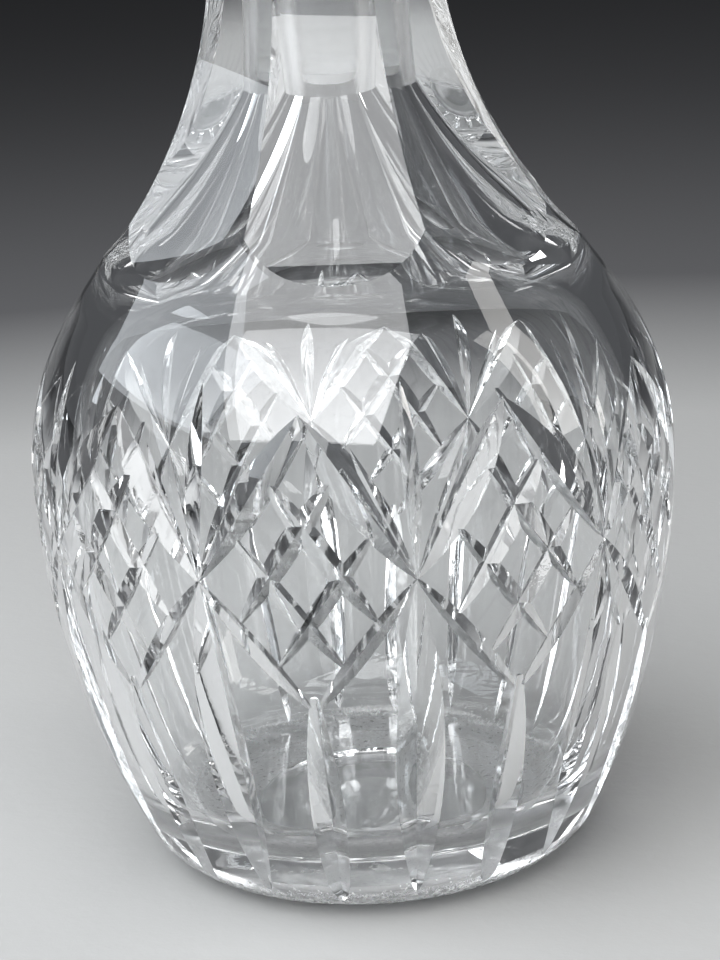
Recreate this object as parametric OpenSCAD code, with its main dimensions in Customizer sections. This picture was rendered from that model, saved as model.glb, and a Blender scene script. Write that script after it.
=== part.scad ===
// Cut crystal decanter: a thick blown bottle with wheel-cut glass, and a solid stopper ground to fit its neck.
// Millimetres. +Z is up, and the origin is the centre of the base, on the plane it stands on.
// Angles round the bottle are counted from the front (-Y) towards the right (+X).

/* [Bottle] */
// Largest radius of the bottle, at its belly
belly_r = 64; // [63:0.5:65]
// Height of the belly above the table
belly_z = 82; // [81:0.5:83]
// Radius of the long curve from the belly down to the foot
side_arc = 170; // [160:5:180]
// Radius of the rounded shoulder above the belly
shoulder_arc = 55.5; // [54:0.5:56]
// Radius of the rounded edge of the foot
foot_arc = 15; // [13:0.5:16]
// Radius of the hollow curve from the shoulder up the neck
neck_arc = 100; // [98:1:102]
// Radius of the neck at its narrowest, before the flutes are cut
neck_r = 23.4; // [23:0.1:24]
// Height of the narrowest part of the neck
neck_z = 188.5; // [187:0.5:190]
// Height of the lip, the top of the bottle
lip_z = 204; // [203:0.5:206]
// Outer radius of the lip
lip_r = 29; // [28:0.5:30]
// Thickness of the glass at the side
wall = 8; // [7.5:0.5:9]
// Thickness of the glass at the base
base_thick = 13; // [11:0.5:15]
// Slope of the inside just below the ground socket, in degrees from upright
throat_lean = 30; // [24:1:32]
// Depth of the ground hollow under the base
base_hollow = 1.2; // [0.8:0.1:1.6]
// Radius of the ground hollow, inside the flat ring that it stands on
hollow_r = 24; // [22:0.5:26]

/* [Wheel cutting] */
// Big diamonds round the belly
diamonds = 10; // [8:1:12]
// Turn of the first diamond from the front, in degrees
diamond_turn = -9; // [-18:1:18]
// Height of the top points of the diamonds
top_point_z = 103.8; // [102:0.2:106]
// Height of the side points, where two diamonds meet
side_point_z = 74; // [72:0.5:76]
// Height of the bottom points of the diamonds
low_point_z = 49; // [47:0.5:51]
// Rows of small diamonds each way inside a big one
lattice = 3; // [2:1:4]
// Height that the middle blade of each fan reaches
fan_z = 109; // [107:0.5:110]
// Height that the side blades of each fan reach
side_blade_z = 98; // [96:0.5:100]
// Turn of a side blade's tip from the middle blade, in degrees
side_blade_turn = 9.5; // [8:0.5:11]
// Angle of the mitre wheel's edge, in degrees
mitre_angle = 100; // [90:5:110]

/* [Neck flutes] */
// Flutes round the neck
flutes = 8; // [6:2:8]
// Turn of the first flute from the front, in degrees
flute_turn = -1.5; // [-5:0.5:5]
// Width of the wheel that cuts the flutes
flute_wheel_w = 34; // [33:0.5:36]
// Radius left at the middle of a flute, at the narrowest part of the neck
flute_r = 20.6; // [20:0.1:21]
// Height where a flute starts to run out onto the shoulder
flute_turn_z = 134; // [133:0.5:136]
// Radius of the wheel that ends a flute on the shoulder
flute_end_wheel = 35; // [32:1:38]
// Radius of the wheel that ends a flute under the lip
flute_top_wheel = 10; // [9:0.5:11]

/* [Stopper] */
// Radius of the neck's ground socket at the lip
socket_r = 11.9; // [11.5:0.1:12.2]
// Length of the ground socket
socket_length = 52; // [50:1:54]
// Taper of the ground joint: change of radius over length
taper = 0.05; // [0.04:0.005:0.06]
// Gap between the seated plug and its socket
plug_gap = 0.15; // [0.1:0.05:0.3]
// Length of the plug below the lip
plug_length = 50; // [48:0.5:50]
// Bevel round the plug's lower end
plug_bevel = 2.4; // [1.5:0.1:3]
// Radius of the stopper's waist, between the lip and the head
waist_r = 10.4; // [10:0.1:11]
// Radius of the stopper's head across its facets' corners
head_r = 27; // [26:0.5:28]
// Height of the middle of the head above the lip
head_rise = 31; // [30:0.5:33]
// Facets in each row round the head
head_facets = 8; // [6:1:10]

/* [Hidden] */
$fn = 96;
step = 360 / diamonds;
half = step / 2;
// centres of the outline's arcs, as [radius, height]
side_c = [belly_r - side_arc, belly_z];
shoulder_c = [belly_r - shoulder_arc, belly_z];
neck_c = [neck_r + neck_arc, neck_z];
// the straight between the shoulder and the neck touches both arcs
across = neck_c - shoulder_c;
lean = atan2(across[1], across[0]) - acos((shoulder_arc + neck_arc) / norm(across));
touch = [cos(lean), sin(lean)];
shoulder_end = shoulder_c + shoulder_arc * touch;
neck_start = neck_c - neck_arc * touch;
// the foot's arc touches the side's arc inside it, and the table below
foot_lean = asin((belly_z - foot_arc) / (side_arc - foot_arc));
foot_c = side_c + (side_arc - foot_arc) * [cos(foot_lean), -sin(foot_lean)];
foot_end = side_c + side_arc * [cos(foot_lean), -sin(foot_lean)];
// inside of the bottle
throat_z = lip_z - socket_length;
throat_r = socket_r - taper * socket_length;
inner_shoulder = shoulder_arc - wall;
throat_dir = [cos(throat_lean), sin(throat_lean)];
throat_from = [throat_r, throat_z] - shoulder_c;
throat_arc = (throat_from * throat_from - inner_shoulder * inner_shoulder)
    / (2 * (inner_shoulder - throat_from * throat_dir));
throat_c = [throat_r, throat_z] + throat_arc * throat_dir;
throat_touch = (throat_c - shoulder_c) / norm(throat_c - shoulder_c);
throat_end = shoulder_c + inner_shoulder * throat_touch;
// the inside corner touches the inside of the wall and the floor
inner_corner = 16;
corner_arc = side_arc - wall - inner_corner;
corner_lean = asin((belly_z - base_thick - inner_corner) / corner_arc);
corner_c = side_c + corner_arc * [cos(corner_lean), -sin(corner_lean)];
corner_end = corner_c + inner_corner * [cos(corner_lean), -sin(corner_lean)];
// where a flute's long wheel hands over to the wheel that ends it
flute_c = [flute_r + neck_arc, neck_z];
flute_lean = asin((neck_z - flute_turn_z) / neck_arc);
flute_dir = [cos(flute_lean), sin(flute_lean)];
flute_hand = flute_c - neck_arc * flute_dir;
flute_end_c = flute_hand + flute_end_wheel * flute_dir;
hollow_arc = (hollow_r * hollow_r + base_hollow * base_hollow) / (2 * base_hollow);

function arc_r(c, r, z) = c[0] + sqrt(r * r - (z - c[1]) * (z - c[1]));
function blank_r(z) =
    z <= belly_z ? arc_r(side_c, side_arc, z)
    : z <= shoulder_end[1] ? arc_r(shoulder_c, shoulder_arc, z)
    : shoulder_end[0] - (z - shoulder_end[1]) * tan(lean);
// a place on the uncut bottle, from its angle and height
function place(turn, z) = [blank_r(z) * sin(turn), -blank_r(z) * cos(turn), z];
function unit(v) = v / norm(v);

module right_half(low, high) {
    translate([0, low]) square([200, high - low]);
}

module blank_outline() {
    // side and foot
    difference() {
        intersection() {
            translate(side_c) circle(side_arc);
            right_half(foot_end[1], belly_z);
        }
        translate([-1, -1]) square([1, 400]);
    }
    intersection() {
        translate(foot_c) circle(foot_arc);
        right_half(0, foot_end[1]);
    }
    polygon([[0, 0], [foot_c[0], 0], foot_end, [0, foot_end[1]]]);
    // shoulder
    intersection() {
        translate(shoulder_c) circle(shoulder_arc);
        right_half(belly_z, belly_z + shoulder_arc);
    }
    // neck
    difference() {
        polygon([[0, belly_z], shoulder_c, shoulder_end, neck_start, [neck_start[0], neck_z], [0, neck_z]]);
        translate(neck_c) circle(neck_arc);
    }
    lip_outline();
}

module lip_outline() {
    edge = 3.4;
    flare = 10;
    difference() {
        translate([0, neck_z]) square([lip_r - edge, lip_z - edge - neck_z]);
        translate([neck_r + flare, neck_z]) circle(flare);
    }
    translate([0, lip_z - 2 * edge]) square([lip_r - edge, 2 * edge]);
    translate([lip_r - edge, lip_z - edge]) circle(edge);
}

module cavity_outline() {
    // chamber
    intersection() {
        translate(side_c) circle(side_arc - wall);
        right_half(corner_end[1], belly_z);
    }
    intersection() {
        translate(corner_c) circle(inner_corner);
        right_half(base_thick, corner_end[1]);
    }
    polygon([[0, base_thick], [corner_c[0], base_thick], corner_end, [0, corner_end[1]]]);
    intersection() {
        translate(shoulder_c) circle(inner_shoulder);
        right_half(belly_z, belly_z + inner_shoulder);
    }
    // throat
    difference() {
        polygon([[0, belly_z], shoulder_c, throat_end, [throat_end[0], throat_z], [0, throat_z]]);
        translate(throat_c) circle(throat_arc);
    }
    // ground socket
    polygon([[0, throat_z - 1], [throat_r, throat_z - 1], [throat_r, throat_z],
        [socket_r + taper, lip_z + 1], [0, lip_z + 1]]);
}

// what the wheels take from one side of the neck, seen from the side of the bottle
module flute_outline() {
    far = [75, neck_z];
    top_c = [flute_r + flute_top_wheel, neck_z];
    intersection() {
        translate(flute_c) circle(neck_arc);
        polygon([flute_hand - 2 * flute_dir, flute_end_c, far, [flute_r - 2, neck_z]]);
    }
    intersection() {
        translate(flute_end_c) circle(flute_end_wheel);
        polygon([flute_hand - 2 * flute_dir, flute_end_c, [75, 100], [30, 100]]);
    }
    polygon([flute_end_c, far, [75, 110]]);
    intersection() {
        translate(top_c) circle(flute_top_wheel);
        translate([0, neck_z]) square([top_c[0], 20]);
    }
    translate([top_c[0], neck_z]) square([75 - top_c[0], 6]);
}

// every second flute, from the one named first, so that no two cutters in one pass meet
module flute_pass(first) {
    for (i = [first : 2 : flutes - 1])
        rotate([0, 0, i * 360 / flutes + flute_turn - 90])
            rotate([90, 0, 0])
                translate([0, 0, -flute_wheel_w / 2])
                    linear_extrude(flute_wheel_w) flute_outline();
}

module blown_bottle() {
    difference() {
        rotate_extrude() blank_outline();
        rotate_extrude() cavity_outline();
        translate([0, 0, base_hollow - hollow_arc]) sphere(hollow_arc);
    }
}

module fluted_bottle() {
    difference() {
        difference() {
            blown_bottle();
            flute_pass(0);
        }
        flute_pass(1);
    }
}

// one pass of the mitre wheel between two places on the bottle, as a straight V below its surface
module mitre(from, to, deeper = 0, angle = mitre_angle) {
    along = unit(to - from);
    mid = (from + to) / 2;
    out = [mid[0], mid[1], 0];
    normal = unit(out - (out * along) * along);
    side = cross(along, normal);
    high = 8;
    wide = high * tan(angle / 2);
    far = norm(to - from) / 2 + 3;
    foot = mid - deeper * normal;
    multmatrix([
        [side[0], normal[0], -along[0], foot[0]],
        [side[1], normal[1], -along[1], foot[1]],
        [side[2], normal[2], -along[2], foot[2]],
        [0, 0, 0, 1],
    ])
        translate([0, 0, -far])
            linear_extrude(2 * far)
                polygon([[0, 0], [wide, high], [-wide, high]]);
}

module diamond_cuts(turn) {
    top = [turn, top_point_z];
    low = [turn, low_point_z];
    for (side = [-1, 1]) {
        point = [turn + side * half, side_point_z];
        other = [turn - side * half, side_point_z];
        mitre(place(top[0], top[1]), place(point[0], point[1]), 0.1);
        mitre(place(point[0], point[1]), place(low[0], low[1]), 0.2);
        for (k = [1 : lattice - 1]) {
            share = k / lattice;
            start = top + (point - top) * share;
            end = other + (low - other) * share;
            mitre(place(start[0], start[1]), place(end[0], end[1]), -0.2);
        }
    }
}

module fan_cuts(turn) {
    root = place(turn, side_point_z);
    mitre(root, place(turn, fan_z), 0, 62);
    for (side = [-1, 1])
        mitre(root, place(turn + side * side_blade_turn, side_blade_z), 0.1, 80);
}

module skirt_cuts(turn) {
    mitre(place(turn + half, side_point_z), place(turn + half, 5), 0.2);
    mitre(place(turn, low_point_z), place(turn, 4.5), 1.1);
}

module bottle() {
    color([0.86, 0.9, 0.92, 0.5])
        difference() {
            fluted_bottle();
            for (i = [0 : diamonds - 1]) {
                turn = diamond_turn + i * step;
                diamond_cuts(turn);
                fan_cuts(turn + half);
                skirt_cuts(turn);
            }
        }
}

// a ball with flat facets ground on it in staggered rows
module head() {
    near = head_r * 0.9;
    difference() {
        sphere(head_r);
        for (row = [-2 : 2])
            for (i = [0 : head_facets - 1])
                rotate([0, 0, (i + abs(row) / 2) * 360 / head_facets])
                    rotate([0, -row * 34, 0])
                        translate([near - (row == 0 ? 0 : 0.4), -head_r, -head_r])
                            cube([head_r, 2 * head_r, 2 * head_r]);
        translate([-head_r, -head_r, near - 1.5]) cube([2 * head_r, 2 * head_r, head_r]);
    }
}

module stopper() {
    seat_r = socket_r - plug_gap;
    end_r = seat_r - taper * plug_length;
    above = 2;
    color([0.88, 0.92, 0.94, 0.5])
        translate([0, 0, lip_z]) {
            rotate_extrude()
                difference() {
                    polygon([
                        [0, -plug_length],
                        [end_r - plug_bevel * 0.6, -plug_length],
                        [end_r, -plug_length + plug_bevel],
                        [seat_r + taper * above, above],
                        [waist_r + 4, above + 6],
                        [waist_r + 4, head_rise - head_r * 0.8],
                        [0, head_rise],
                    ]);
                    translate([waist_r + 5.2, 5.6]) circle(5.2);
                }
            translate([0, 0, head_rise]) head();
        }
}

bottle();
stopper();
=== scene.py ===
import math

import bmesh
import bpy
from mathutils import Matrix, Vector


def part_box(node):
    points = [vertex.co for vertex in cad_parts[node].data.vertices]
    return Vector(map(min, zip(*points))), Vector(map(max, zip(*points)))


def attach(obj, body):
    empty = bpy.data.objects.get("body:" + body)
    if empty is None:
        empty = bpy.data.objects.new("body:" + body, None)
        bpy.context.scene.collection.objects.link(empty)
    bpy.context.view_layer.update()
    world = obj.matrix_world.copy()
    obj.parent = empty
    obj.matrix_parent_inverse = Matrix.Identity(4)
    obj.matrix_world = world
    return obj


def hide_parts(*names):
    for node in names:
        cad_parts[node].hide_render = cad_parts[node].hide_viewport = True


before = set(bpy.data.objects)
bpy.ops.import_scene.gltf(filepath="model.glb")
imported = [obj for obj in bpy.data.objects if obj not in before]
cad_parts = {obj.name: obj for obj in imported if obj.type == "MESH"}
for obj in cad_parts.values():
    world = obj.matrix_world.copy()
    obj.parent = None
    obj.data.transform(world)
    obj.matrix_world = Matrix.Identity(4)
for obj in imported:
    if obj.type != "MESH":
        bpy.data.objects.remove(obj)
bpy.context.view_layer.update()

MM = 0.001
UP = Vector((0, 0, 1))
TINY = 1e-7

# ---------------------------------------------------------------- sizes
bottle_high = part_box("bottle")[1]
stopper_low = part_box("stopper")[0]

LIP_Z = bottle_high.z
BELLY_R = bottle_high.x
BELLY_Z = 82 * MM
SIDE_ARC = 170 * MM
SHOULDER_ARC = 55.5 * MM
FOOT_ARC = 15 * MM
NECK_ARC = 100 * MM
NECK_R = 23.4 * MM
NECK_Z = 188.5 * MM
LIP_R = 29 * MM
LIP_EDGE = 3.4 * MM
LIP_FLARE = 10 * MM
WALL = 8 * MM
BASE_THICK = 13 * MM
BASE_HOLLOW = 1.2 * MM
HOLLOW_R = 24 * MM
INNER_CORNER = 16 * MM

SOCKET_R = 11.9 * MM
SOCKET_LENGTH = 52 * MM
SOCKET_MOUTH = 0.7 * MM
TAPER = 0.05
PLUG_GAP = 0.15 * MM
PLUG_END = stopper_low.z
PLUG_BEVEL = 2.4 * MM
WAIST_R = 10.4 * MM
WAIST_C = (WAIST_R + 5.2 * MM, LIP_Z + 5.6 * MM)
WAIST_TOP = 125.0
COLLAR = 2 * MM
SHAFT_TOP_R, SHAFT_TOP_Z, SHAFT_TIP_Z = WAIST_R + 2.4 * MM, LIP_Z + 12 * MM, LIP_Z + 14 * MM
HEAD_R = 27 * MM
HEAD_Z = LIP_Z + 31 * MM
HEAD_FACETS = 8
HEAD_ROWS = 2
ROW_LEAN = 34
FACET_REACH = 0.9 * HEAD_R
ROW_DEEPER, CROWN_DEEPER = 0.4 * MM, 1.5 * MM
FACET_ANGLE = 9

DIAMONDS = 10
DIAMOND_TURN = -9.0
DIAMOND_STEP = 360 / DIAMONDS
TOP_Z, SIDE_Z, LOW_Z = 103.8 * MM, 74 * MM, 49 * MM
LATTICE = 3
FAN_Z, BLADE_Z, BLADE_TURN = 109 * MM, 98 * MM, 9.5
SIDE_FOOT_Z, LOW_FOOT_Z = 5 * MM, 4.5 * MM
# the wheels' angles in degrees, and how far each pass goes under its chord
MITRE, BLADE_MITRE, FAN_MITRE = 100.0, 80.0, 62.0
UPPER_DEEPER, LOWER_DEEPER, LATTICE_DEEPER, BLADE_DEEPER = 0.1 * MM, 0.2 * MM, 0.12 * MM, 0.1 * MM
SIDE_FOOT_DEEPER, LOW_FOOT_DEEPER = 0.2 * MM, 1.1 * MM
MITRE_HIGH, MITRE_SPARE = 6 * MM, 3 * MM

FLUTES = 8
FLUTE_TURN = -1.5
FLUTE_REACH = 12.5
FLUTE_R = 20.6 * MM
FLUTE_TURN_Z = 131.5 * MM
FLUTE_END_WHEEL = 25 * MM
FLUTE_TOP_WHEEL = 10 * MM
FLUTE_HOLLOW = 135 * MM
FLUTE_OUTSIDE = 75 * MM

ROUND, STOPPER_ROUND = 240, 160

# centres and ends of the outline's arcs, as (radius, height)
SIDE_C = Vector((BELLY_R - SIDE_ARC, BELLY_Z))
SHOULDER_C = Vector((BELLY_R - SHOULDER_ARC, BELLY_Z))
NECK_C = Vector((NECK_R + NECK_ARC, NECK_Z))
neck_way = NECK_C - SHOULDER_C
LEAN = math.atan2(neck_way.y, neck_way.x) - math.acos((SHOULDER_ARC + NECK_ARC) / neck_way.length)
TOUCH = Vector((math.cos(LEAN), math.sin(LEAN)))
SHOULDER_END = SHOULDER_C + SHOULDER_ARC * TOUCH
KNEE_ARC = 30 * MM
KNEE_Z = 123.6 * MM
KNEE_START = SHOULDER_END + Vector((-math.tan(LEAN), 1)) * (KNEE_Z - SHOULDER_END.y)
KNEE_C = KNEE_START + KNEE_ARC * TOUCH
FOOT_LEAN = math.asin((BELLY_Z - FOOT_ARC) / (SIDE_ARC - FOOT_ARC))
FOOT_C = SIDE_C + (SIDE_ARC - FOOT_ARC) * Vector((math.cos(FOOT_LEAN), -math.sin(FOOT_LEAN)))
THROAT_Z = LIP_Z - SOCKET_LENGTH
THROAT_R = SOCKET_R - TAPER * SOCKET_LENGTH
INNER_SHOULDER = SHOULDER_ARC - WALL
THROAT_LEAN = 30.0
THROAT_DIR = Vector((math.cos(math.radians(THROAT_LEAN)), math.sin(math.radians(THROAT_LEAN))))
THROAT_TOP = Vector((THROAT_R, THROAT_Z))
throat_way = THROAT_TOP - SHOULDER_C
THROAT_ARC = ((throat_way.dot(throat_way) - INNER_SHOULDER ** 2)
              / (2 * (INNER_SHOULDER - throat_way.dot(THROAT_DIR))))
THROAT_C = THROAT_TOP + THROAT_ARC * THROAT_DIR
THROAT_END = SHOULDER_C + INNER_SHOULDER * (THROAT_C - SHOULDER_C).normalized()
CORNER_LEAN = math.asin((BELLY_Z - BASE_THICK - INNER_CORNER) / (SIDE_ARC - WALL - INNER_CORNER))
CORNER_DIR = Vector((math.cos(CORNER_LEAN), -math.sin(CORNER_LEAN)))
CORNER_C = SIDE_C + (SIDE_ARC - WALL - INNER_CORNER) * CORNER_DIR
CORNER_TOP = CORNER_C.y - INNER_CORNER * math.sin(CORNER_LEAN)
FLUTE_C = Vector((FLUTE_R + NECK_ARC, NECK_Z))
FLUTE_LEAN = math.asin((NECK_Z - FLUTE_TURN_Z) / NECK_ARC)
FLUTE_DIR = Vector((math.cos(FLUTE_LEAN), math.sin(FLUTE_LEAN)))
FLUTE_END_C = FLUTE_C - NECK_ARC * FLUTE_DIR + FLUTE_END_WHEEL * FLUTE_DIR
FLUTE_TOP_C = Vector((FLUTE_R + FLUTE_TOP_WHEEL, NECK_Z))
FLARE_C = Vector((NECK_R + LIP_FLARE, NECK_Z))
EDGE_C = Vector((LIP_R - LIP_EDGE, LIP_Z - LIP_EDGE))


def arc_r(centre, radius, z):
    return centre.x + math.sqrt(radius * radius - (z - centre.y) ** 2)


def blank_r(z):
    """The blown outside's radius at a height, up to the neck."""
    if z <= BELLY_Z:
        return arc_r(SIDE_C, SIDE_ARC, z)
    if z <= SHOULDER_END.y:
        return arc_r(SHOULDER_C, SHOULDER_ARC, z)
    return SHOULDER_END.x - (z - SHOULDER_END.y) * math.tan(LEAN)


def place(turn, z):
    """A place on the blown outside."""
    r, a = blank_r(z), math.radians(turn)
    return Vector((r * math.sin(a), -r * math.cos(a), z))


# ---------------------------------------------------------------- outline drawn as one running line
class Outline:
    """A line in the plane of radius and height, drawn by runs and arcs, then spun round the axis."""

    def __init__(self, r, z):
        self.bm = bmesh.new()
        self.tip = self.bm.verts.new((r, 0, z))

    def run(self, r, z, parts=1):
        start = self.tip.co.copy()
        goal = Vector((r, 0, z))
        for k in range(parts):
            made = bmesh.ops.extrude_vert_indiv(self.bm, verts=[self.tip])
            self.tip = made["verts"][0]
            self.tip.co = start.lerp(goal, (k + 1) / parts)

    def arc(self, centre, degrees, parts):
        """Turns the tip round a centre; a positive angle goes from +radius towards +height."""
        made = bmesh.ops.spin(self.bm, geom=[self.tip], cent=(centre[0], 0, centre[1]), axis=(0, -1, 0),
                              angle=math.radians(degrees), steps=parts, use_merge=False)
        self.tip = next(v for v in made["geom_last"] if isinstance(v, bmesh.types.BMVert))

    def spun(self, steps=ROUND):
        bm = self.bm
        bmesh.ops.spin(bm, geom=bm.verts[:] + bm.edges[:], cent=(0, 0, 0), axis=(0, 0, 1),
                       angle=math.tau, steps=steps, use_merge=True)
        bmesh.ops.remove_doubles(bm, verts=bm.verts, dist=1e-6)
        bmesh.ops.recalc_face_normals(bm, faces=bm.faces)
        return bm


def angle_at(centre, point):
    return math.degrees(math.atan2(point[1] - centre[1], point[0] - centre[0]))


def finished(name, bm, *materials):
    mesh = bpy.data.meshes.new(name)
    bm.to_mesh(mesh)
    bm.free()
    for m in materials:
        mesh.materials.append(m)
    obj = bpy.data.objects.new(name, mesh)
    bpy.context.scene.collection.objects.link(obj)
    return obj


def paint(bm, index):
    for f in bm.faces:
        f.material_index = index
    return bm


BLOWN, SOCKET, FOOT_RING, FLUTE, CUT = range(5)


# ---------------------------------------------------------------- the bottle as blown
def blown_bottle():
    """Outside, lip, socket, throat, chamber and hollow base, as one closed skin."""
    line = Outline(0, BASE_HOLLOW)
    hollow_arc = (HOLLOW_R ** 2 + BASE_HOLLOW ** 2) / (2 * BASE_HOLLOW)
    hollow_c = (0, BASE_HOLLOW - hollow_arc)
    line.arc(hollow_c, -math.degrees(math.asin(HOLLOW_R / hollow_arc)), 6)
    line.run(FOOT_C.x, 0, 3)
    line.arc(FOOT_C, 90 - math.degrees(FOOT_LEAN), 14)
    line.arc(SIDE_C, math.degrees(FOOT_LEAN), 30)
    line.arc(SHOULDER_C, math.degrees(LEAN), 26)
    line.run(KNEE_START.x, KNEE_START.y, 3)
    line.arc(KNEE_C, -math.degrees(LEAN), 12)
    line.run(NECK_R, NECK_Z, 6)
    under = math.degrees(math.acos((FLARE_C.x - EDGE_C.x) / LIP_FLARE))
    line.arc(FLARE_C, -under, 10)
    line.run(EDGE_C.x, EDGE_C.y - LIP_EDGE)
    line.arc(EDGE_C, 180, 14)
    line.run(SOCKET_R + SOCKET_MOUTH, LIP_Z)
    line.run(SOCKET_R - TAPER * SOCKET_MOUTH, LIP_Z - SOCKET_MOUTH, 2)
    line.run(THROAT_R, THROAT_Z, 16)
    line.arc(THROAT_C, angle_at(THROAT_C, THROAT_END) - angle_at(THROAT_C, THROAT_TOP), 14)
    line.arc(SHOULDER_C, -angle_at(SHOULDER_C, THROAT_END), 24)
    line.arc(SIDE_C, -math.degrees(CORNER_LEAN), 24)
    line.arc(CORNER_C, math.degrees(CORNER_LEAN) - 90, 14)
    line.run(0, BASE_THICK, 3)
    return line.spun()


# ---------------------------------------------------------------- wheels
def turned(degrees):
    return Matrix.Rotation(math.radians(degrees), 3, UP)


def flute_wheel(turn):
    """What one flute takes: its side view swept on a wide circle, so it is slightly hollow across."""
    line = Outline(FLUTE_R + FLUTE_TOP_WHEEL, NECK_Z + FLUTE_TOP_WHEEL)
    line.arc(FLUTE_TOP_C, 90, 10)
    line.arc(FLUTE_C, math.degrees(FLUTE_LEAN), 26)
    line.arc(FLUTE_END_C, 50, 14)
    line.run(FLUTE_OUTSIDE, line.tip.co.z)
    line.run(FLUTE_OUTSIDE, NECK_Z + FLUTE_TOP_WHEEL)
    line.run(FLUTE_R + FLUTE_TOP_WHEEL, NECK_Z + FLUTE_TOP_WHEEL)
    bm = line.bm
    bmesh.ops.remove_doubles(bm, verts=bm.verts, dist=1e-6)
    centre = Vector((FLUTE_HOLLOW, 0, 0))
    bmesh.ops.rotate(bm, verts=bm.verts, cent=centre, matrix=turned(-FLUTE_REACH))
    bmesh.ops.spin(bm, geom=bm.verts[:] + bm.edges[:], cent=centre, axis=UP,
                   angle=math.radians(2 * FLUTE_REACH), steps=26, use_merge=False)
    bmesh.ops.holes_fill(bm, edges=[e for e in bm.edges if e.is_boundary], sides=0)
    bmesh.ops.recalc_face_normals(bm, faces=bm.faces)
    bmesh.ops.rotate(bm, verts=bm.verts, cent=(0, 0, 0), matrix=turned(turn - 90))
    return bm


def mitre_wheel(start, end, deeper, angle=MITRE):
    """What one pass of the mitre wheel takes between two places: a V along their chord."""
    along = (end - start).normalized()
    mid = (start + end) / 2
    out = Vector((mid.x, mid.y, 0))
    normal = (out - out.dot(along) * along).normalized()
    side = along.cross(normal)
    wide = MITRE_HIGH * math.tan(math.radians(angle / 2))
    far = (end - start).length / 2 + MITRE_SPARE
    bm = bmesh.new()
    corners = (0, 0, -far), (wide, MITRE_HIGH, -far), (-wide, MITRE_HIGH, -far)
    cap = bm.faces.new([bm.verts.new(c) for c in corners])
    made = bmesh.ops.extrude_face_region(bm, geom=[cap])
    moved = [v for v in made["geom"] if isinstance(v, bmesh.types.BMVert)]
    bmesh.ops.translate(bm, verts=moved, vec=(0, 0, 2 * far))
    bmesh.ops.recalc_face_normals(bm, faces=bm.faces)
    foot = mid - deeper * normal
    seat = Matrix((
        (side.x, normal.x, -along.x, foot.x),
        (side.y, normal.y, -along.y, foot.y),
        (side.z, normal.z, -along.z, foot.z),
        (0, 0, 0, 1)))
    bmesh.ops.transform(bm, matrix=seat, verts=bm.verts)
    return bm


def joined(parts):
    """Several cutters that don't meet, as one mesh."""
    whole = bmesh.new()
    for bm in parts:
        mesh = bpy.data.meshes.new("wheel")
        bm.to_mesh(mesh)
        bm.free()
        whole.from_mesh(mesh)
        bpy.data.meshes.remove(mesh)
    return whole


def combined(obj, tool, operation):
    """Cuts a tool out of a piece, or joins it on, for good."""
    boolean = obj.modifiers.new("pass", "BOOLEAN")
    boolean.operation = operation
    boolean.solver = "MANIFOLD"
    boolean.object = tool
    bpy.context.view_layer.update()
    shaped = bpy.data.meshes.new_from_object(obj.evaluated_get(bpy.context.evaluated_depsgraph_get()))
    obj.modifiers.clear()
    old = obj.data
    obj.data = shaped
    shaped.name = old.name
    bpy.data.meshes.remove(old)
    bpy.data.objects.remove(tool)


def cut(obj, bm, index):
    """One pass of the wheels over a piece."""
    combined(obj, finished("wheel", paint(bm, index), *obj.data.materials), "DIFFERENCE")


def mixed(a, b, share):
    return a[0] + (b[0] - a[0]) * share, a[1] + (b[1] - a[1]) * share


def wheel_passes():
    """Every pass over the belly, each a list of cutters that stay clear of each other."""
    around = [DIAMOND_TURN + i * DIAMOND_STEP for i in range(DIAMONDS)]
    half = DIAMOND_STEP / 2
    passes = []
    for side in (-1, 1):
        upper, lower = [], []
        rows = [[] for _ in range(LATTICE - 1)]
        fan = []
        for t in around:
            top, low = (t, TOP_Z), (t, LOW_Z)
            point, other = (t + side * half, SIDE_Z), (t - side * half, SIDE_Z)
            upper.append(mitre_wheel(place(*top), place(*point), UPPER_DEEPER))
            lower.append(mitre_wheel(place(*point), place(*low), LOWER_DEEPER))
            for k in range(1, LATTICE):
                start, end = mixed(top, point, k / LATTICE), mixed(other, low, k / LATTICE)
                rows[k - 1].append(mitre_wheel(place(*start), place(*end), LATTICE_DEEPER))
            root = place(t + half, SIDE_Z)
            tip = place(t + half + side * BLADE_TURN, BLADE_Z)
            fan.append(mitre_wheel(root, tip, BLADE_DEEPER, BLADE_MITRE))
        passes += [upper, lower, *rows, fan]
    for turn, start, end, deeper, angle in (
            (half, SIDE_Z, FAN_Z, 0, FAN_MITRE),
            (half, SIDE_Z, SIDE_FOOT_Z, SIDE_FOOT_DEEPER, MITRE),
            (0, LOW_Z, LOW_FOOT_Z, LOW_FOOT_DEEPER, MITRE)):
        passes.append([mitre_wheel(place(t + turn, start), place(t + turn, end), deeper, angle)
                       for t in around])
    return passes


# ---------------------------------------------------------------- shading normals
def straight_normal(co, middle, flat):
    """On a cone or a level: the face's own slope, turned to the corner's place round the axis."""
    r, far = math.hypot(co.x, co.y), math.hypot(middle.x, middle.y)
    if r < TINY or far < TINY:
        return flat
    slope = (flat.x * middle.x + flat.y * middle.y) / far
    return Vector((slope * co.x / r, slope * co.y / r, flat.z)).normalized()


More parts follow.
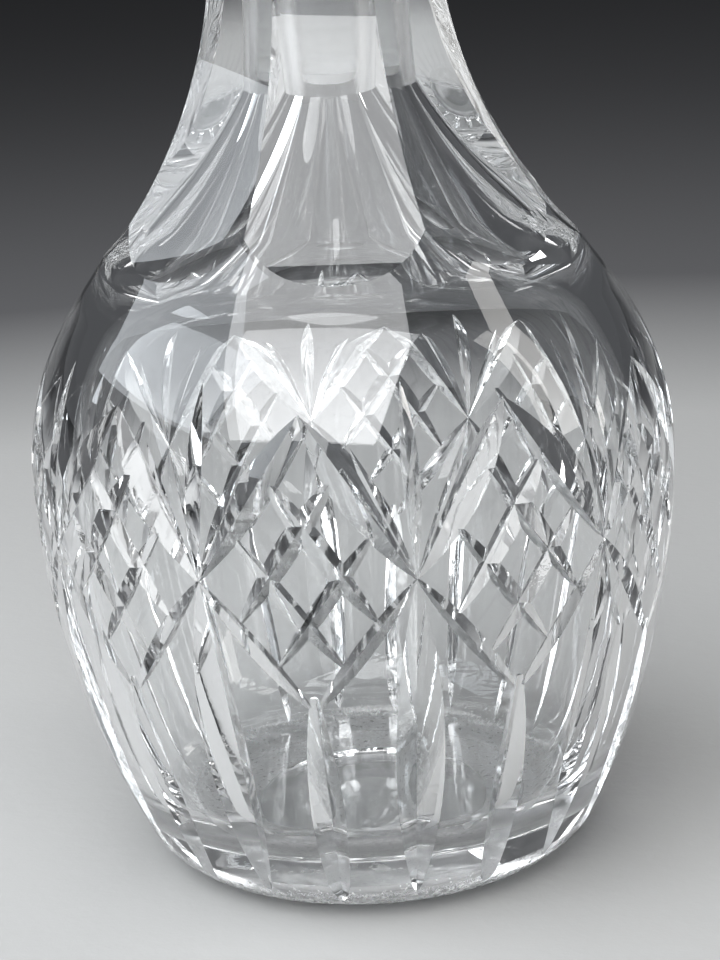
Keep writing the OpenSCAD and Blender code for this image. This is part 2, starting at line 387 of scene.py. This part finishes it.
def outline_normal(co, middle, flat):
    """The true direction of the spun surface at a place on it, inside or outside."""
    r = math.hypot(co.x, co.y)
    p = Vector((r, co.z))
    best = None
    for centre, radius, facing, low, high, inner, outer in SKINS:
        if not (low - NEAR <= p.y <= high + NEAR and inner - NEAR <= p.x <= outer + NEAR):
            continue
        d = p - centre
        miss = abs(d.length - radius)
        if best is None or miss < best[0]:
            best = (miss, d.normalized() * facing)
    if best is None or best[0] > OFF_SKIN:
        return straight_normal(co, middle, flat)
    n = best[1]
    if r < TINY:
        return Vector((0, 0, n.y))
    return Vector((n.x * co.x / r, n.x * co.y / r, n.y))


FAR, NEAR, OFF_SKIN = 100 * MM, 0.01 * MM, 0.05 * MM
# each arc of the skin: centre, radius, +1 bulging or -1 hollow, lowest, highest, inner and outer reach
SKINS = [
    (FOOT_C, FOOT_ARC, 1, 0, SIDE_C.y - SIDE_ARC * math.sin(FOOT_LEAN), FOOT_C.x, FAR),
    (SIDE_C, SIDE_ARC, 1, SIDE_C.y - SIDE_ARC * math.sin(FOOT_LEAN), BELLY_Z, 0, FAR),
    (SHOULDER_C, SHOULDER_ARC, 1, BELLY_Z, SHOULDER_END.y, 0, FAR),
    (KNEE_C, KNEE_ARC, -1, KNEE_START.y, KNEE_C.y, 0, FAR),
    (FLARE_C, LIP_FLARE, -1, NECK_Z, LIP_Z, 0, EDGE_C.x),
    (EDGE_C, LIP_EDGE, 1, 0, LIP_Z, EDGE_C.x, FAR),
    (SIDE_C, SIDE_ARC - WALL, -1, CORNER_TOP, BELLY_Z, 0, FAR),
    (CORNER_C, INNER_CORNER, -1, BASE_THICK, CORNER_TOP, CORNER_C.x, FAR),
    (SHOULDER_C, INNER_SHOULDER, -1, BELLY_Z, THROAT_END.y, 0, FAR),
    (THROAT_C, THROAT_ARC, 1, THROAT_END.y, THROAT_Z, 0, THROAT_C.x),
]


def flute_normal(co):
    """The true direction of the flute that a place lies in."""
    a = math.degrees(math.atan2(co.x, -co.y))
    turn = FLUTE_TURN + round((a - FLUTE_TURN) / (360 / FLUTES)) * 360 / FLUTES
    back = turned(90 - turn)
    q = back @ co
    axis = Vector((FLUTE_HOLLOW, 0))
    flat = Vector((q.x, q.y)) - axis
    p = Vector((FLUTE_HOLLOW - flat.length, q.z))
    centre = FLUTE_TOP_C if p.y > NECK_Z else FLUTE_C if p.y > FLUTE_TURN_Z else FLUTE_END_C
    n = (centre - p).normalized()
    flat.normalize()
    made = Vector((-flat.x * n.x, -flat.y * n.x, n.y))
    return back.transposed() @ made


SAME_WAY = 0.9


def true_normals(obj):
    """Gives every corner its surface's true direction: curved on skin and flutes, flat on the cuts."""
    mesh = obj.data
    normals = [None] * len(mesh.loops)
    for poly in mesh.polygons:
        flat, middle = poly.normal.copy(), poly.center
        for li in poly.loop_indices:
            co = mesh.vertices[mesh.loops[li].vertex_index].co
            n = flat
            if poly.material_index == FLUTE:
                n = flute_normal(co)
            elif poly.material_index in (BLOWN, FOOT_RING):
                n = outline_normal(co, middle, flat)
            elif poly.material_index == SOCKET:
                n = straight_normal(co, middle, flat)
            if n.dot(flat) < SAME_WAY:
                n = flat
            normals[li] = n
    mesh.shade_smooth()
    mesh.normals_split_custom_set(normals)


# ---------------------------------------------------------------- materials
class Number:
    """A socket that carries a number; arithmetic on it adds Math nodes."""

    def __init__(self, tree, socket):
        self.tree, self.socket = tree, socket

    def _math(self, operation, a, b):
        return self.tree.number("ShaderNodeMath", {"operation": operation}, {0: a, 1: b})

    def __add__(self, o): return self._math("ADD", self, o)
    def __radd__(self, o): return self._math("ADD", o, self)
    def __mul__(self, o): return self._math("MULTIPLY", self, o)
    def __rmul__(self, o): return self._math("MULTIPLY", o, self)


class Finish:
    """One node material."""

    def __init__(self, name):
        self.material = bpy.data.materials.new(name)
        self.material.use_nodes = True
        self.tree = self.material.node_tree
        self.tree.nodes.clear()
        self.out = self.tree.nodes.new("ShaderNodeOutputMaterial")
        self.where = self.node("ShaderNodeTexCoord").outputs["Object"]

    def node(self, kind, settings=None, inputs=None):
        n = self.tree.nodes.new(kind)
        for key, value in (settings or {}).items():
            if key == "stops":
                ramp = n.color_ramp
                while len(ramp.elements) < len(value):
                    ramp.elements.new(0.5)
                for element, (at, colour) in zip(ramp.elements, value):
                    element.position = at
                    element.color = colour if len(colour) == 4 else (*colour, 1)
            else:
                setattr(n, key, value)
        for key, value in (inputs or {}).items():
            if isinstance(value, Number):
                value = value.socket
            if isinstance(value, bpy.types.NodeSocket):
                self.tree.links.new(value, n.inputs[key])
            else:
                n.inputs[key].default_value = value
        return n

    def number(self, kind, settings=None, inputs=None, output=0):
        return Number(self, self.node(kind, settings, inputs).outputs[output])

    def noise(self, scale, detail, roughness=0.5, where=None):
        return self.number("ShaderNodeTexNoise", None, {
            "Vector": where or self.where, "Scale": scale, "Detail": detail,
            "Roughness": roughness}, output="Fac")

    def band(self, value, low, high, a=0.0, b=1.0):
        return self.number("ShaderNodeMapRange", {"clamp": True, "interpolation_type": "SMOOTHSTEP"}, {
            "Value": value, "From Min": low, "From Max": high, "To Min": a, "To Max": b})

    def stretched(self, x, y, z):
        return self.node("ShaderNodeMapping", None, {
            "Vector": self.where, "Scale": (x, y, z)}).outputs["Vector"]

    def height(self):
        return self.number("ShaderNodeSeparateXYZ", None, {"Vector": self.where}, output="Z")

    def bump(self, height, distance, strength):
        return self.node("ShaderNodeBump", None, {
            "Height": height, "Distance": distance, "Strength": strength}).outputs["Normal"]

    def done(self, **inputs):
        named = {k.replace("_", " "): v for k, v in inputs.items()}
        shader = self.node("ShaderNodeBsdfPrincipled", None, named)
        self.tree.links.new(shader.outputs[0], self.out.inputs["Surface"])
        return self.material


GLASS = {"Transmission_Weight": 1.0, "IOR": 1.55, "Metallic": 0.0}
FOOT_CLEAR = 0.72


def polished_crystal(name, tint):
    """Fire-polished glass: a slow swell, and a few patches of fine specks."""
    f = Finish(name)
    soft = f.noise(14, 1)
    fine = f.noise(700, 2)
    specks = f.band(f.noise(2600, 1), 0.74, 0.78)
    patch = f.band(f.noise(60, 2), 0.45, 0.7)
    rough = 0.004 + 0.02 * specks * patch
    return f.done(Base_Color=tint, Roughness=rough,
                  Normal=f.bump(soft + 0.002 * fine, 0.4 * MM, 0.35), **GLASS)


def cut_crystal(name, tint):
    """The polished wheel marks of a cut."""
    f = Finish(name)
    wheel = f.noise(1500, 2)
    slow = f.noise(90, 2)
    return f.done(Base_Color=tint, Roughness=f.band(wheel, 0.4, 0.8, 0.004, 0.03),
                  Normal=f.bump(slow + 0.05 * wheel, 0.3 * MM, 0.4), **GLASS)


def ground_crystal(name, tint, rough, clear):
    """Glass ground matt: the share that is clear lets the view through, and the rest is white."""
    f = Finish(name)
    grain = f.noise(4000, 3)
    rings = f.noise(900, 2, where=f.stretched(0.02, 0.02, 1))
    return f.done(Base_Color=tint, Roughness=f.band(grain + 0.4 * rings, 0.4, 1.0, rough, rough + 0.2),
                  Normal=f.bump(grain + 0.5 * rings, 0.1 * MM, 0.35),
                  **{**GLASS, "Transmission_Weight": clear})


def foot_crystal(name, tint):
    """The rounded foot: scuffed white where it stands, clearer above."""
    f = Finish(name)
    scratches = f.noise(700, 4, 0.7, f.stretched(1, 1, 0.4))
    low = f.band(f.height(), 0.5 * MM, 7 * MM, 1.0, 0.1)
    worn = f.band(scratches + 0.25 * low, 0.5, 0.8)
    return f.done(Base_Color=tint, Roughness=0.02 + 0.5 * worn,
                  Normal=f.bump(scratches * low, 0.2 * MM, 0.4),
                  **{**GLASS, "Transmission_Weight": FOOT_CLEAR})


CLEAR = (0.985, 0.992, 0.995, 1)
WHITE = (0.96, 0.965, 0.965, 1)
polished = polished_crystal("polished_crystal", CLEAR)
socket_ground = ground_crystal("socket_ground", WHITE, 0.03, 0.97)
foot_worn = foot_crystal("foot_worn", WHITE)
flute_polish = polished_crystal("flute_polish", CLEAR)
cut_polish = cut_crystal("cut_polish", CLEAR)
stopper_polish = polished_crystal("stopper_polish", CLEAR)
plug_ground = ground_crystal("plug_ground", WHITE, 0.07, 0.86)
bevel_ground = ground_crystal("bevel_ground", WHITE, 0.5, 0.0)


# ---------------------------------------------------------------- the cut bottle
SOCKET_EDGE, FOOT_EDGE = 0.4 * MM, 0.5 * MM
body = blown_bottle()
for face in body.faces:
    middle = face.calc_center_median()
    r = math.hypot(middle.x, middle.y)
    face.material_index = BLOWN
    if THROAT_Z < middle.z < LIP_Z - SOCKET_EDGE and r < SOCKET_R + SOCKET_EDGE:
        face.material_index = SOCKET
    elif middle.z < FOOT_C.y - FOOT_ARC * math.sin(FOOT_LEAN) - FOOT_EDGE and r > HOLLOW_R:
        face.material_index = FOOT_RING
crystal_bottle = finished("crystal_bottle", body,
                          polished, socket_ground, foot_worn, flute_polish, cut_polish)
for first in range(FLUTES // 2):
    turn = FLUTE_TURN + first * 360 / FLUTES
    cut(crystal_bottle, joined([flute_wheel(turn), flute_wheel(turn + 180)]), FLUTE)
for tools in wheel_passes():
    cut(crystal_bottle, joined(tools), CUT)
true_normals(crystal_bottle)
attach(crystal_bottle, "bottle_body")
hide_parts("bottle")


# ---------------------------------------------------------------- the stopper
def plug_and_waist():
    """The tapered plug, and the waist that runs up into the head."""
    seat = SOCKET_R - PLUG_GAP
    end = seat - TAPER * (LIP_Z - PLUG_END)
    line = Outline(0, PLUG_END)
    line.run(end - 0.6 * PLUG_BEVEL, PLUG_END, 3)
    line.run(end, PLUG_END + PLUG_BEVEL, 2)
    line.run(seat, LIP_Z, 16)
    line.run(seat + TAPER * COLLAR, LIP_Z + COLLAR, 2)
    line.arc(WAIST_C, WAIST_TOP - angle_at(WAIST_C, (line.tip.co.x, line.tip.co.z)) % 360, 16)
    line.run(SHAFT_TOP_R, SHAFT_TOP_Z)
    line.run(0, SHAFT_TIP_Z)
    return line.spun(STOPPER_ROUND)


def faceted_head():
    """A ball ground flat in staggered rows."""
    bm = bmesh.new()
    bmesh.ops.create_uvsphere(bm, u_segments=96, v_segments=64, radius=HEAD_R)
    for row in range(-HEAD_ROWS, HEAD_ROWS + 1):
        lean = math.radians(row * ROW_LEAN)
        for i in range(HEAD_FACETS):
            a = math.radians((i + abs(row) / 2) * 360 / HEAD_FACETS)
            out = Vector((math.cos(lean) * math.cos(a), math.cos(lean) * math.sin(a), math.sin(lean)))
            slice_off(bm, out, FACET_REACH - (ROW_DEEPER if row else 0))
    slice_off(bm, UP, FACET_REACH - CROWN_DEEPER)
    bmesh.ops.translate(bm, verts=bm.verts, vec=(0, 0, HEAD_Z))
    return bm


def slice_off(bm, out, distance):
    """Grinds one flat."""
    made = bmesh.ops.bisect_plane(bm, geom=bm.verts[:] + bm.edges[:] + bm.faces[:], dist=TINY,
                                  plane_co=out * distance, plane_no=out, clear_outer=True)
    edges = [e for e in made["geom_cut"] if isinstance(e, bmesh.types.BMEdge)]
    if edges:
        bmesh.ops.edgeloop_fill(bm, edges=edges)


SHAFT, PLUG, BEVEL, FACET = range(4)
shaft = plug_and_waist()
for face in shaft.faces:
    middle = face.calc_center_median()
    face.material_index = SHAFT
    if middle.z < PLUG_END + PLUG_BEVEL:
        face.material_index = BEVEL
    elif middle.z < LIP_Z:
        face.material_index = PLUG
crystal_stopper = finished("crystal_stopper", shaft,
                           stopper_polish, plug_ground, bevel_ground, stopper_polish)
head = finished("head", paint(faceted_head(), FACET), *crystal_stopper.data.materials)
combined(crystal_stopper, head, "UNION")
crystal_stopper.data.shade_smooth()
crystal_stopper.data.set_sharp_from_angle(angle=math.radians(FACET_ANGLE))
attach(crystal_stopper, "stopper_body")
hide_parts("stopper")


# ---------------------------------------------------------------- floor, light and camera
# Distances from the decanter where the floor's painted shade begins and where it is full: the floor
# keeps its own pale grey inside, then darkens as painted falloff of light.
PAINTED_SHADE_START, PAINTED_SHADE_FULL = 0.36, 0.62
FLOOR_REACH = 8.0


def round_floor(reach):
    """A level floor all round the decanter."""
    bm = bmesh.new()
    bmesh.ops.create_circle(bm, cap_ends=True, cap_tris=False, segments=96, radius=reach)
    return bm


def floor_with_painted_falloff(name, pale, far, rough):
    """Pale near the decanter, greyer away from it as painted shade standing in for the lamps' falloff.
    """
    f = Finish(name)
    fine = f.noise(220, 4, 0.6)
    away = f.node("ShaderNodeVectorMath", {"operation": "LENGTH"}, {"Vector": f.where}).outputs["Value"]
    # Painted shade: the colour ramps from the floor's pale grey to a darker grey with distance, standing
    # in for light falling off.
    colour = f.node("ShaderNodeValToRGB", {"stops": [(PAINTED_SHADE_START, pale), (PAINTED_SHADE_FULL, far)]}, {"Fac": away})
    return f.done(Base_Color=colour.outputs["Color"], Roughness=rough, Normal=f.bump(fine, 0.001, 0.15))


# The second grey is painted shade, darkening the floor away from the decanter in place of lamp falloff.
floor = finished("pale_floor", round_floor(FLOOR_REACH),
                 floor_with_painted_falloff("pale_floor_painted_falloff", (0.36, 0.36, 0.356), (0.1, 0.1, 0.104), 0.8))


def lamp(name, azimuth, elevation, distance, size, glow, colour=(1, 1, 1)):
    """A softbox aimed at the belly; its glow is the brightness of its face."""
    data = bpy.data.lights.new(name, "AREA")
    data.shape = "RECTANGLE"
    data.size, data.size_y = size
    data.energy = glow * math.pi * size[0] * size[1]
    data.color = colour
    obj = bpy.data.objects.new(name, data)
    a, e = math.radians(azimuth), math.radians(elevation)
    out = Vector((math.sin(a) * math.cos(e), -math.cos(a) * math.cos(e), math.sin(e)))
    obj.location = Vector((0, 0, BELLY_Z)) + distance * out
    obj.rotation_mode = "QUATERNION"
    obj.rotation_quaternion = (-out).to_track_quat("-Z", "Y")
    bpy.context.scene.collection.objects.link(obj)


lamp("window", -18, 53, 1.0, (1.05, 1.2), 5.5, (0.98, 0.99, 1))
lamp("left_window", -84, 38, 0.9, (0.95, 0.55), 3.4, (0.9, 0.95, 1))
lamp("right_strip", 80, 28, 0.9, (0.14, 0.7), 4.5, (1, 0.98, 0.95))
lamp("behind", 170, 48, 0.9, (0.5, 0.2), 4.0)

scene = bpy.context.scene
world = bpy.data.worlds.new("studio")
world.use_nodes = True
room = world.node_tree.nodes["Background"].inputs
room["Color"].default_value = (0.3, 0.31, 0.33, 1)
room["Strength"].default_value = 0.25
scene.world = world

CAMERA_Y, CAMERA_Z = -0.4596, 0.2012
yaw, pitch, roll = 0.0023, -0.2669, -0.0585
lens = bpy.data.cameras.new("camera")
lens.lens = 88.6
lens.sensor_width = 36
camera = bpy.data.objects.new("camera", lens)
ahead = Vector((math.sin(yaw) * math.cos(pitch), math.cos(yaw) * math.cos(pitch), math.sin(pitch)))
level = ahead.cross(UP).normalized()
above = level.cross(ahead)
right = math.cos(roll) * level + math.sin(roll) * above
top = right.cross(ahead)
camera.matrix_world = Matrix((
    (right.x, top.x, -ahead.x, 0),
    (right.y, top.y, -ahead.y, CAMERA_Y),
    (right.z, top.z, -ahead.z, CAMERA_Z),
    (0, 0, 0, 1)))
scene.collection.objects.link(camera)
scene.camera = camera

scene.cycles.max_bounces = 32
scene.cycles.transmission_bounces = 32
scene.cycles.glossy_bounces = 16
scene.cycles.transparent_max_bounces = 16
scene.cycles.sample_clamp_indirect = 6
scene.cycles.use_denoising = True
scene.view_settings.view_transform = "Standard"
scene.view_settings.look = "None"
